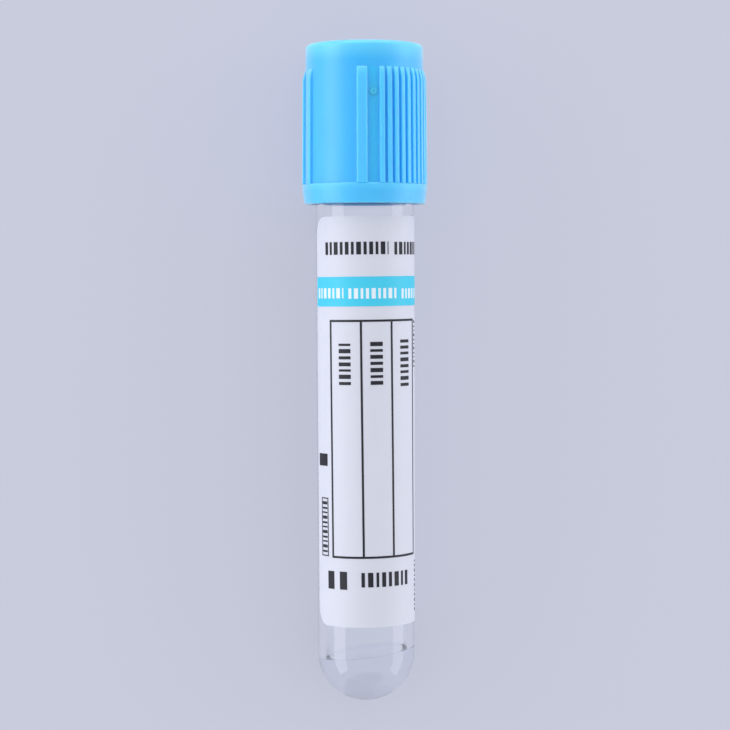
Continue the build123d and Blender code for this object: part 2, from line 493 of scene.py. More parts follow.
@dataclass(frozen=True, kw_only=True)
class MouldedFinish(Finish):
    """Satin moulded plastic that carries light under its surface; its colour also gets a painted
    highlight on thin edges and painted fill light in narrow hollows.

    Attributes:
        pale: The painted highlight colour of a thin raised edge.
        painted_hollow_fill: The colour of a narrow hollow, painted fill light that offsets its
            shade.
        depth: Depth in mm to which light scatters.
        spread: How far red, green and blue scatter, as shares of that depth.
        bloom: Weight of the pale sheen at grazing angles.
        bloom_roughness: Roughness of that sheen.
        skin_roughness: Roughness of the glossier skin over the plastic.
        ior: Index of the resin.
    """

    pale: Colour
    painted_hollow_fill: Colour
    depth: float = 0.55
    spread: tuple[float, float, float] = (0.4, 0.9, 1.2)
    bloom: float = 0.5
    bloom_roughness: float = 0.4
    skin_roughness: float = 0.45
    ior: float = 1.5

    def constants(self) -> dict[str, Any]:
        """Index of the resin, its scatter, the bloom at its limbs and its skin.

        Returns:
            The values by socket name.
        """
        return {
            "IOR": self.ior,
            "Subsurface Weight": 1.0,
            "Subsurface Radius": self.spread,
            "Subsurface Scale": self.depth * MM,
            "Sheen Weight": self.bloom,
            "Sheen Roughness": self.bloom_roughness,
            "Coat Weight": 1.0,
            "Coat Roughness": self.skin_roughness,
        }

    def colouring(
        self, tree: bpy.types.NodeTree, base: bpy.types.NodeSocket
    ) -> bpy.types.NodeSocket:
        """Turns the colour paler on thin edges as a painted highlight and deeper in hollows as
        painted fill light, from the mesh's painted light map.

        Args:
            tree: The material's nodes.
            base: The mottled colour.

        Returns:
            The colour that the shader takes.
        """
        relief = add_node(tree, "Attribute", attribute_name=PAINTED_LIGHT_MAP).outputs["Fac"]
        # Painted light: the hollow colour fills the grooves (relief -1) and the pale colour paints
        # highlights on edges (relief 1).
        for tone, far in ((self.painted_hollow_fill, -1.0), (self.pale, 1.0)):
            share = add_node(tree, "MapRange", {"From Min": 0.0, "From Max": far, "Value": relief})
            values = {"A": base, "B": tone, "Factor": share.outputs["Result"]}
            base = add_node(tree, "Mix", values, data_type="RGBA").outputs["Result"]
        return base


@dataclass(frozen=True)
class SheetFinish(Finish):
    """Coated film, ink, rubber or card.

    Attributes:
        gloss: Level of the surface's reflection.
        glow: Share of the light that scatters through a thin sheet.
        glow_depth: Depth of that scatter in mm.
    """

    gloss: float = 0.4
    glow: float = 0.0
    glow_depth: float = 0.12

    def constants(self) -> dict[str, Any]:
        """Level of the reflection, and the light that a thin sheet lets through.

        Returns:
            The values by socket name.
        """
        values: dict[str, Any] = {"Specular IOR Level": self.gloss}
        if self.glow:
            values["Subsurface Weight"] = self.glow
            values["Subsurface Radius"] = (1.0, 1.0, 1.0)
            values["Subsurface Scale"] = self.glow_depth * MM
        return values


CLEAR_PLASTIC = ClearFinish(
    "clear_plastic",
    colour=(0.985, 0.99, 1.0, 1.0),
    second=(0.97, 0.98, 0.995, 1.0),
    roughness=(0.0, 0.02),
    grain=1500.0,
    mottle=90.0,
    relief=0.002,
    relief_strength=0.15,
)
CLEAR_SOLUTION = ClearFinish(
    "clear_solution",
    colour=(0.97, 0.965, 0.99, 1.0),
    second=(0.95, 0.95, 0.985, 1.0),
    roughness=(0.0, 0.01),
    grain=400.0,
    mottle=120.0,
    relief=0.002,
    relief_strength=0.1,
    ior=1.333,
)
CAP_BLUE = MouldedFinish(
    name="cap_blue",
    colour=srgb(24, 184, 255),
    second=srgb(12, 180, 254),
    # The pale colour is a painted highlight for thin edges and the next one painted fill light for
    # narrow hollows.
    pale=srgb(90, 209, 255),
    painted_hollow_fill=srgb(0, 190, 255),
    roughness=(0.34, 0.42),
    grain=5200.0,
    mottle=240.0,
    relief=0.012,
    relief_strength=0.25,
)
STOPPER_RUBBER = SheetFinish(
    "stopper_rubber",
    colour=srgb(118, 119, 124),
    second=srgb(104, 105, 110),
    roughness=(0.62, 0.8),
    grain=7000.0,
    mottle=500.0,
    relief=0.02,
    relief_strength=0.5,
)
LABEL_WHITE = SheetFinish(
    "label_white",
    colour=srgb(209, 212, 226),
    second=srgb(205, 208, 222),
    roughness=(0.42, 0.55),
    grain=9000.0,
    mottle=320.0,
    relief=0.008,
    relief_strength=0.3,
    gloss=0.35,
    glow=0.2,
)
PRINT_BLUE = SheetFinish(
    "print_blue",
    colour=srgb(66, 199, 231),
    second=srgb(58, 195, 229),
    roughness=(0.36, 0.48),
    grain=8000.0,
    mottle=600.0,
    relief=0.006,
    relief_strength=0.3,
)
PRINT_BLACK = replace(
    PRINT_BLUE,
    name="print_black",
    colour=srgb(22, 22, 31),
    second=srgb(32, 32, 42),
    roughness=(0.38, 0.5),
    mottle=900.0,
)
PRINT_WHITE = replace(
    PRINT_BLACK,
    name="print_white",
    colour=srgb(226, 236, 244),
    second=srgb(214, 228, 240),
    roughness=(0.4, 0.5),
)


# --- the tube and the solution in it ---------------------------------------------------------


@dataclass
class Barrel:
    """The clear moulded tube: a drafted wall, a round end and a rounded mouth, in mm."""

    axis: TubeAxis
    length: float = 75.0
    mouth_radius: float = 6.5
    end_radius: float = 6.44
    wall: float = 0.95
    rim_round: float = 0.3
    dimple_radius: float = 0.6
    dimple_depth: float = 0.15
    dimple_flat: float = 0.7
    dimple_rounds: tuple[float, float] = (0.1, 0.08)
    dome_steps: int = 48
    support_gaps: tuple[float, float] = (0.05, 0.5)
    support_span: tuple[float, float] = (20.0, 65.0)

    @property
    def bore_end_radius(self) -> float:
        """The bore's radius where the round end starts."""
        return self.end_radius - self.wall

    def outside(self, station: float) -> float:
        """The outside radius at a station on the drafted wall."""
        share = (station - self.end_radius) / (self.length - self.end_radius)
        return self.end_radius + share * (self.mouth_radius - self.end_radius)

    def inside(self, station: float) -> float:
        """The bore's radius at a station on the drafted wall."""
        return self.outside(station) - self.wall

    def supports(self) -> list[float]:
        """Stations of the rings that keep the long straight walls' shading even.

        Returns:
            The stations in mm, from the round end to the mouth.
        """
        lowest, highest = self.end_radius, self.length - self.rim_round
        near, far = self.support_gaps
        ends = [lowest + near, lowest + far], [highest - far, highest - near]
        return [*ends[0], *spread(*self.support_span, 3), *ends[1]]

    def build(self) -> None:
        """Builds the tube."""
        edge = math.degrees(math.asin(self.dimple_radius / self.end_radius))
        outer = dome(self.end_radius, self.end_radius, edge, 90.0, self.dome_steps)
        inner = dome(self.bore_end_radius, self.end_radius, 90.0, 0.0, self.dome_steps)
        floor = outer[0][1] + self.dimple_depth
        dimple = soften(
            (
                (0.0, floor, 0.0),
                (self.dimple_radius * self.dimple_flat, floor, self.dimple_rounds[0]),
                (*outer[0], self.dimple_rounds[1]),
                (*outer[1], 0.0),
            )
        )
        walls = soften(
            (
                (*outer[-1], 0.0),
                *((self.outside(s), s, 0.0) for s in self.supports()),
                (self.mouth_radius, self.length, self.rim_round),
                (self.inside(self.length), self.length, self.rim_round),
                *((self.inside(s), s, 0.0) for s in reversed(self.supports())),
                (*inner[0], 0.0),
            )
        )
        pole = (0.0, inner[-1][1])
        outline = dimple[:-1] + outer[1:-1] + walls + inner[1:-1] + [pole]
        made = turned("clear_barrel", self.axis, outline)
        dress(made, CLEAR_PLASTIC.material(), Body.TUBE, ["tube"])


@dataclass
class Solution:
    """The liquid in the round end, with a nearly flat surface that leans a little.

    Attributes:
        barrel: The tube that holds it.
        level: Station of the surface's middle in mm.
        rise: How far the surface climbs at the wall.
        fullness: How close to the wall that climb keeps.
        lean: How far the surface's right edge is above its middle.
        seat: How far the liquid sinks into the wall, so that no air shows between them.
        crowding: How closely the surface's rings crowd towards the wall.
        wall_steps: Rings up the wall.
        surface_steps: Rings across the surface.
        segments: Steps round the axis.
    """

    barrel: Barrel
    level: float = 6.2
    rise: float = 0.3
    fullness: float = 8.0
    lean: float = 0.7
    seat: float = 0.02
    crowding: float = 1.8
    wall_steps: int = 40
    surface_steps: int = 28
    segments: int = 160

    @property
    def radius(self) -> float:
        """Radius of the liquid's round end."""
        return self.barrel.bore_end_radius + self.seat

    def surface(self, share: float, angle: float) -> float:
        """Station of the surface.

        Args:
            share: Distance from the axis as a share of the bore's radius.
            angle: Angle about the axis in degrees.

        Returns:
            The station in mm.
        """
        sideways = share * math.sin(math.radians(angle))
        return self.level + self.lean * sideways + self.rise * share**self.fullness

    def climb(self, station: float) -> float:
        """Distance along the wall from the tip up to a station.

        Args:
            station: The station in mm.

        Returns:
            The distance in mm.
        """
        drop = self.barrel.end_radius - station
        if drop > 0:
            return self.radius * math.acos(drop / self.radius)
        return self.radius * math.pi / 2 - drop

    def wall(self, climb: float) -> tuple[float, float]:
        """Where the wall is at a distance along it from the tip.

        Args:
            climb: The distance in mm.

        Returns:
            The wall's radius and station.
        """
        turn = climb / self.radius
        if turn < math.pi / 2:
            station = self.barrel.end_radius - self.radius * math.cos(turn)
            return self.radius * math.sin(turn), station
        station = self.barrel.end_radius + climb - self.radius * math.pi / 2
        return self.barrel.inside(station) + self.seat, station

    def build(self) -> None:
        """Builds the solution."""
        axis = self.barrel.axis
        turns = [360 * k / self.segments for k in range(self.segments)]
        climbs = [self.climb(self.surface(1.0, a)) for a in turns]
        rings = [[axis.point(0.0, 0.0, self.wall(0.0)[1])]]
        for share in spread(0.0, 1.0, self.wall_steps)[1:]:
            places = [self.wall(climb * share) for climb in climbs]
            rings.append([axis.point(r, a, s) for a, (r, s) in zip(turns, places)])
        for step in spread(1.0, 0.0, self.surface_steps)[1:-1]:
            share = 1 - (1 - step) ** self.crowding
            radii = [self.wall(climb)[0] * share for climb in climbs]
            rings.append(
                [axis.point(r, a, self.surface(share, a)) for a, r in zip(turns, radii)]
            )
        rings.append([axis.point(0.0, 0.0, self.level)])
        made = skin("solution", rings, Ends.POLES, crease=30.0)
        material, nodes = CLEAR_SOLUTION.material(), ["citrate_solution"]
        dress(made, material, Body.TUBE, nodes)


# --- the closure -----------------------------------------------------------------------------


@dataclass
class Cap:
    """The push-on closure's shell: a plain band, two groups of grip ribs, a crown and a port.

    Lengths are in mm, stations are along the tube's axis, and angles are in degrees. A relief says
    how much painted light a place gets, from painted fill light in a groove at -1 to a painted
    highlight on an edge at 1.
    """

    axis: TubeAxis
    foot: float = 66.1
    top: float = 87.15
    top_radius: float = 7.77
    foot_radius: float = 7.87
    grip_radius: float = 8.28
    grip_draft: float = 0.1
    band_radius: float = 8.235
    band_height: float = 2.6
    band_bevel: float = 0.12
    taper_height: float = 1.65
    taper_depth: float = 0.24
    foot_round: float = 0.2
    taper_round: float = 0.6
    crown_round: float = 0.65
    crown_foot: float = 1.0
    rib_length: float = 14.95
    rib_slope: float = 1.55
    rib_slope_power: float = 1.1
    rib_end_share: float = 0.16
    rib_end_drop: float = 0.04
    rib_end_stand: float = 0.01
    rib_lean: float = 0.045
    rib_edge: float = 0.11
    rib_root: float = 0.09
    rib_foot_root: float = 0.1
    rib_rows: int = 8
    wide_rib: float = 1.34
    narrow_rib: float = 0.63
    wide_angles: tuple[float, ...] = (-65.1, -2.25)
    narrow_start: float = 16.7
    narrow_pitch: float = 7.2
    narrow_count: int = 12
    repeats: tuple[float, ...] = (0.0, 180.0)
    plain_step: float = 1.6
    hollow_span: float = 14.0
    skirt_radius: float = 6.85
    skirt_lead_in: float = 0.3
    web_foot: float = 77.0
    web_top: float = 78.4
    web_radius: float = 4.4
    chamber_radius: float = 5.15
    port_radius: float = 5.5
    port_floor: float = 82.7
    port_bevel: float = 0.5
    port_round: float = 0.12
    inner_round: float = 0.1
    fine_round: float = 0.05
    round_steps: int = 7
    rim_rows: int = 12
    # Painted highlight levels put into the cap's colour for the crown's rim, the band's top edge,
    # the band and the rib tops, and the length over which the rib tops' highlight grows.
    rim_painted_highlight: float = 0.9
    band_edge_painted_highlight: float = 0.6
    band_painted_highlight: float = 0.3
    rib_painted_highlight: float = 0.45
    rib_tip_highlight_reach: float = 0.8
    gate_angle: float = 8.5
    gate_drop: float = 6.7
    gate_radius: float = 0.45
    gate_height: float = 0.2
    gate_sink: float = 0.3
    gate_hollow: float = 0.06
    gate_shares: tuple[float, float] = (0.45, 0.3)
    gate_round: float = 0.09
    gate_segments: int = 32

    @property
    def band_top(self) -> float:
        """Station of the top of the plain band."""
        return self.foot + self.band_height

    @property
    def rib_top(self) -> float:
        """Station of the upper ends of the ribs."""
        return self.band_top + self.rib_length

    def plain(self, station: float) -> float:
        """The drafted radius between the ribs at a station."""
        share = (station - self.band_top) / (self.top - self.band_top)
        return self.foot_radius + share * (self.top_radius - self.foot_radius)

    def grip(self, station: float) -> float:
        """The drafted radius on the ribs, whose upper ends slope down to the wall.

        Args:
            station: The station in mm.

        Returns:
            The radius in mm.
        """
        share = (station - self.band_top) / self.rib_length
        full = self.grip_radius - share * self.grip_draft
        plain = self.plain(station)
        rise = min(1.0, max(0.0, (self.rib_top - station) / self.rib_slope))
        swell = math.sin(rise * math.pi / 2) ** self.rib_slope_power
        return plain + (full - plain) * (self.rib_end_share + (1 - self.rib_end_share) * swell)

    def rib_section(self, width: float) -> Profile:
        """One rib's section.

        Args:
            width: Width of the rib's face in mm.

        Returns:
            Pairs of sideways distance in mm and share of the rib's height.
        """
        height = self.grip_radius - self.plain((self.band_top + self.rib_top) / 2)
        edge, root = self.rib_edge, self.rib_root
        foot = width / 2 + self.rib_lean + root
        half = [
            (width / 2 - edge * (1 - sine), (height - edge * (1 - cosine)) / height)
            for sine, cosine in quarter(4)
        ]
        half += [(foot - root * cosine, root * (1 - sine) / height) for sine, cosine in quarter(3)]
        return [(-x, h) for x, h in reversed(half)] + half

    def columns(self) -> list[tuple[float, float, float]]:
        """The angles of the mesh's columns.

        Returns:
            Angle in degrees, share of the rib's height and share of a hollow's depth, right
            round the cap.
        """
        ribs = [(a + r, self.wide_rib) for r in self.repeats for a in self.wide_angles]
        narrow = [self.narrow_start + self.narrow_pitch * k for k in range(self.narrow_count)]
        ribs += [(a + r, self.narrow_rib) for r in self.repeats for a in narrow]
        degree = math.degrees(1 / self.grip_radius)
        found: list[tuple[float, float, float]] = []
        for angle, width in sorted((a % 360, w) for a, w in ribs):
            section = [(angle + x * degree, h, 0.0) for x, h in self.rib_section(width)]
            if found:
                found += self.between(found[-1][0], section[0][0])
            found += section
        return found + self.between(found[-1][0], found[0][0] + 360)

    def between(self, start: float, end: float) -> list[tuple[float, float, float]]:
        """Columns of the wall between two ribs, which is a hollow where they stand close.

        Args:
            start: Angle of the first rib's foot in degrees.
            end: Angle of the second rib's foot.

        Returns:
            Columns as in the whole list.
        """
        steps = max(2, math.ceil((end - start) / self.plain_step))
        depth = 1.0 if end - start < self.hollow_span else 0.0
        return [(a, 0.0, depth) for a in spread(start, end, steps)[1:-1]]

    def outer_rows(self) -> list[tuple[float, float, float]]:
        """The rows of the outside, from the foot to the crown.

        Returns:
            Station, radius between the ribs and radius on the ribs, for each row.
        """
        band, girth, top = self.band_top, self.band_radius, self.rib_top
        lower = soften(
            (
                (self.skirt_radius + self.skirt_lead_in, self.foot, 0.0),
                (girth - self.taper_depth, self.foot, self.foot_round),
                (girth, self.foot + self.taper_height, self.taper_round),
                (girth, band - self.band_bevel, self.fine_round),
                (girth - self.band_bevel, band, 0.0),
            )
        )
        rows = [(s, r, r) for r, s in lower[1:]]
        root, plain, grip = self.rib_foot_root, self.plain(band), self.grip(band)
        for sine, cosine in quarter(3):
            rows.append((band + root * (1 - cosine), plain + root * (1 - sine), grip))
        shoulder, steps = top - self.rib_slope, self.rib_rows
        stations = spread(band + 2 * root, shoulder, steps) + spread(shoulder, top, steps)[1:]
        rows += [(s, self.plain(s), self.grip(s)) for s in stations]
        end = self.plain(top)
        rows.append((top + self.rib_end_drop, end, end + self.rib_end_stand))
        for station in (top + root, top + self.crown_foot - root):
            rows.append((station, self.plain(station), self.plain(station)))
        return rows

    def crown_rows(self) -> list[tuple[float, float, float]]:
        """The rows of the crown, the port, the web and the skirt's inside, down to the foot.

        Returns:
            Station and twice the radius, as the outer rows have it.
        """
        foot, port, inner = self.rib_top + self.crown_foot, self.port_round, self.inner_round
        outline = soften(
            (
                (self.plain(foot), foot, 0.0),
                (self.top_radius, self.top, self.crown_round),
                (self.port_radius + self.port_bevel, self.top, port),
                (self.port_radius, self.top - self.port_bevel, port),
                (self.port_radius, self.port_floor, inner),
                (self.chamber_radius, self.port_floor, self.fine_round),
                (self.chamber_radius, self.web_top, inner),
                (self.web_radius, self.web_top, inner),
                (self.web_radius, self.web_foot, inner),
                (self.skirt_radius, self.web_foot, inner),
                (self.skirt_radius, self.foot + self.skirt_lead_in, inner),
                (self.skirt_radius + self.skirt_lead_in, self.foot, 0.0),
            ),
            steps=self.round_steps,
        )
        return [(s, r, r) for r, s in outline]

    def build_shell(self) -> bpy.types.Object:
        """Builds the ribbed shell, with the painted light of its outside as a mesh attribute.

        Returns:
            The shell's object.
        """
        outer = self.outer_rows()
        columns = self.columns()
        rings, relief = [], []
        for k, (station, plain, ribbed) in enumerate(outer + self.crown_rows()):
            rings.append(
                [self.axis.point(plain + h * (ribbed - plain), a, station) for a, h, _ in columns]
            )
            # Only the outside and the crown's rim rows carry painted light.
            seen = k < len(outer) + self.rim_rows
            relief += [self.relief(station, h - d) if seen else 0.0 for _, h, d in columns]
        made = skin("closure_shell", rings, Ends.LOOP, crease=48.0)
        made.data.attributes.new(PAINTED_LIGHT_MAP, "FLOAT", "POINT").data.foreach_set("value", relief)
        return made

    def relief(self, station: float, height: float) -> float:
        """How much painted light a place on the outside gets, from how much it stands out.

        Args:
            station: Station of the place.
            height: Its share of the rib's height, or less than 0 in a hollow.

        Returns:
            The relief, 0 on the plain wall, above 0 for a painted highlight and below 0 for
            painted fill light in a hollow.
        """
        # The crown's rim, the band and its top edge get painted highlights.
        if station > self.top - self.crown_round * 1.2:
            return self.rim_painted_highlight
        if station <= self.band_top + 0.02:
            near_edge = station > self.band_top - 0.3
            return self.band_edge_painted_highlight if near_edge else self.band_painted_highlight
        if station > self.rib_top:
            return 0.0
        if height < 0:
            return height
        # The rib tops get a painted highlight that grows towards their upper ends.
        tip = max(0.0, 1 - (self.rib_top - station) / self.rib_tip_highlight_reach)
        return self.rib_painted_highlight * (1 + tip) * height

    def build_gate(self) -> bpy.types.Object:
        """Builds the small round mark left by the mould's gate.

        Returns:
            The mark's object.
        """
        station = self.top - self.gate_drop
        seat = self.axis.point(self.plain(station), self.gate_angle, station)
        out = (seat - self.axis.point(0.0, 0.0, station)).normalized()
        across = self.axis.along.cross(out)
        hollow = self.gate_height - self.gate_hollow
        rim, well = (self.gate_radius * share for share in self.gate_shares)
        outline = soften(
            (
                (0.0, -self.gate_sink, 0.0),
                (self.gate_radius, -self.gate_sink, 0.0),
                (self.gate_radius, self.gate_height, self.gate_round),
                (rim, self.gate_height, self.fine_round),
                (well, hollow, self.fine_round),
                (0.0, hollow, 0.0),
            )
        )
        rings = []
        for radius, lift in outline:
            full = spread(0.0, 2 * math.pi, self.gate_segments)[:-1]
            turns = [0.0] if radius < ON_AXIS else full
            spokes = [self.axis.along * math.cos(t) + across * math.sin(t) for t in turns]
            rings.append([seat + (out * lift + spoke * radius) * MM for spoke in spokes])
        return skin("gate_mark", rings, Ends.POLES, crease=40.0)

    def build(self) -> None:
        """Builds the cap with its gate mark as one piece."""
        made = joined([self.build_shell(), self.build_gate()])
        dress(made, CAP_BLUE.material(), Body.CLOSURE, ["cap"])


@dataclass
class Stopper:
    """The rubber stopper: a ringed plug, a collar on the tube's rim and a head in the cap.

    Lengths are in mm, and stations are along the tube's axis.
    """

    axis: TubeAxis
    mouth: float = 75.0
    plug_length: float = 7.5
    plug_radius: float = 5.484
    plug_round: float = 0.25
    waist_depth: float = 0.14
    ring_height: float = 1.5
    lead_in: float = 0.9
    collar_radius: float = 6.65
    collar_top: float = 77.0
    neck_radius: float = 4.3
    neck_top: float = 78.4
    head_radius: float = 4.95
    head_top: float = 82.5
    head_round: float = 0.5
    well_radius: float = 2.8
    well_depth: float = 2.4
    well_rounds: tuple[float, float] = (0.2, 0.3)
    cavity_radius: float = 3.4
    cavity_depth: float = 8.0
    cavity_round: float = 0.8
    edge: float = 0.12
    fine_edge: float = 0.05
    segments: int = 160

    def build(self) -> None:
        """Builds the stopper."""
        foot, edge, fine = self.mouth - self.plug_length, self.edge, self.fine_edge
        plug = self.plug_radius
        waist = plug - self.waist_depth
        lower_ring = foot + self.lead_in + self.ring_height
        upper_ring = self.mouth - self.ring_height
        floor = self.head_top - self.well_depth
        outline = soften(
            (
                (0.0, foot + self.cavity_depth, 0.0),
                (self.cavity_radius, foot + self.cavity_depth, self.cavity_round),
                (self.cavity_radius, foot, edge),
                (plug - self.lead_in / 2, foot, self.plug_round),
                (plug, foot + self.lead_in, edge),
                (plug, lower_ring, edge),
                (waist, lower_ring + self.waist_depth, fine),
                (waist, upper_ring - self.waist_depth, fine),
                (plug, upper_ring, edge),
                (plug, self.mouth, 0.0),
                (self.collar_radius, self.mouth, edge),
                (self.collar_radius, self.collar_top, edge),
                (self.neck_radius, self.collar_top, fine),
                (self.neck_radius, self.neck_top, fine),
                (self.head_radius, self.neck_top, edge),
                (self.head_radius, self.head_top, self.head_round),
                (self.well_radius, self.head_top, self.well_rounds[0]),
                (self.well_radius, floor, self.well_rounds[1]),
                (0.0, floor, 0.0),
            )
        )
        made = turned("rubber_stopper", self.axis, outline, self.segments)
        material, nodes = STOPPER_RUBBER.material(), ["stopper"]
        dress(made, material, Body.CLOSURE, nodes)


# --- the label and its print -----------------------------------------------------------------


@dataclass(frozen=True)
class Patch:
    """A field wrapped on the barrel, by its edges in degrees and mm."""

    start: float
    end: float
    foot: float
    top: float


@dataclass
class Wrap:
    """Thin closed sheets that follow the barrel's drafted wall.

    Attributes:
        barrel: The tube that they lie on.
        skew: Lean of the whole wrap in degrees, as a labelling machine leaves it.
        pivot: Station at angle zero that it leans about.
        column_step: Widest column in degrees.
        row_step: Longest row in mm.
        corner_steps: Columns in a rounded corner.
    """

    barrel: Barrel
    skew: float = 0.56
    pivot: float = 38.0
    column_step: float = 2.0
    row_step: float = 4.0
    corner_steps: int = 10

    def sheet(
        self, name: str, patches: Sequence[Patch], low: float, high: float, corner: float = 0.0
    ) -> bpy.types.Object:
        """Builds one object of one or more wrapped fields.

        Args:
            name: Name of the new object.
            patches: The fields.
            low: Height of the underside above the barrel's wall, in mm.
            high: Height of the upper side.
            corner: Rounding of each field's four corners.

        Returns:
            The new object.
        """
        fields = [self.field(f"{name}_{k}", p, low, high, corner) for k, p in enumerate(patches)]
        made = joined(fields)
        made.name = name
        return made

    def field(
        self, name: str, patch: Patch, low: float, high: float, corner: float
    ) -> bpy.types.Object:
        """Builds one wrapped field as a closed mesh.

        Args:
            name: Name of the new object.
            patch: The field.
            low: Height of the underside above the barrel's wall, in mm.
            high: Height of the upper side.
            corner: Rounding of the field's four corners.

        Returns:
            The new object.
        """
        degree = math.degrees(1 / (self.barrel.outside((patch.foot + patch.top) / 2) + high))
        rows = max(1, math.ceil((patch.top - patch.foot) / self.row_step))
        rings = []
        for angle in self.angles(patch, corner * degree):
            reach = min(angle - patch.start, patch.end - angle) / degree
            inset = self.corner_inset(reach, corner)
            stations = spread(patch.foot + inset, patch.top - inset, rows)
            outer = [self.place(high, angle, station) for station in stations]
            inner = [self.place(low, angle, station) for station in stations]
            rings.append(outer + inner[::-1])
        return skin(name, rings, Ends.FLAT, crease=40.0)

    def place(self, lift: float, angle: float, station: float) -> Vector:
        """A point of the leaning wrap.

        Args:
            lift: Height above the barrel's wall in mm.
            angle: Angle before the wrap leans.
            station: Station before the wrap leans.

        Returns:
            The point in the frame.
        """
        turn = math.radians(self.skew)
        radius = self.barrel.outside(self.pivot)
        reach = math.sin(math.radians(angle)) * radius
        climb = station - self.pivot
        leaning_angle = angle - climb * math.sin(turn) * math.degrees(1 / radius)
        leaning_station = self.pivot + reach * math.sin(turn) + climb * math.cos(turn)
        height = self.barrel.outside(leaning_station) + lift
        return self.barrel.axis.point(height, leaning_angle, leaning_station)

    def angles(self, patch: Patch, margin: float) -> list[float]:
        """Column angles of a field, closer together through its rounded corners.

        Args:
            patch: The field.
            margin: Width of a corner in degrees.

        Returns:
            The angles from the first edge to the last.
        """
        if margin <= 0:
            steps = max(1, math.ceil((patch.end - patch.start) / self.column_step))
            return spread(patch.start, patch.end, steps)
        ease = [1 - cosine for _, cosine in quarter(self.corner_steps)]
        left = [patch.start + margin * e for e in ease]
        right = [patch.end - margin * e for e in reversed(ease)]
        steps = math.ceil((right[0] - left[-1]) / self.column_step)
        return left + spread(left[-1], right[0], steps)[1:-1] + right

    @staticmethod
    def corner_inset(reach: float, corner: float) -> float:
        """How far a rounded corner draws the edge in.

        Args:
            reach: Distance from the field's side in mm.
            corner: Radius of the corner.

        Returns:
            The inset in mm.
        """
        if corner <= 0 or reach >= corner:
            return 0.0
        return corner - math.sqrt(max(0.0, corner**2 - (corner - max(reach, 0.0)) ** 2))


@dataclass(frozen=True)
class BlockRow:
    """A row of plain blocks that stands where a word would be.

    Attributes:
        field: The place that the row fills.
        run: The way that the row runs.
        widths: Widths of the blocks in mm, taken in turn.
        gap: Gap between blocks in mm.
        least: Least width of the last block.
    """

    field: Patch
    run: Run
    widths: tuple[float, ...]
    gap: float
    least: float = 0.1

    def blocks(self, radius: float) -> list[Patch]:
        """The row's blocks.

        Args:
            radius: Radius of the print in mm.

        Returns:
            One field for each block.
        """
        place, rounds = self.field, self.run is Run.ROUND
        unit = math.degrees(1 / radius) if rounds else 1.0
        here, last = (place.start, place.end) if rounds else (place.foot, place.top)
        found: list[Patch] = []
        while here < last - self.least * unit:
            width = self.widths[len(found) % len(self.widths)]
            end = min(here + width * unit, last)
            if rounds:
                found.append(Patch(here, end, place.foot, place.top))
            else:
                found.append(Patch(place.start, place.end, here, end))
            here = end + self.gap * unit
        return found


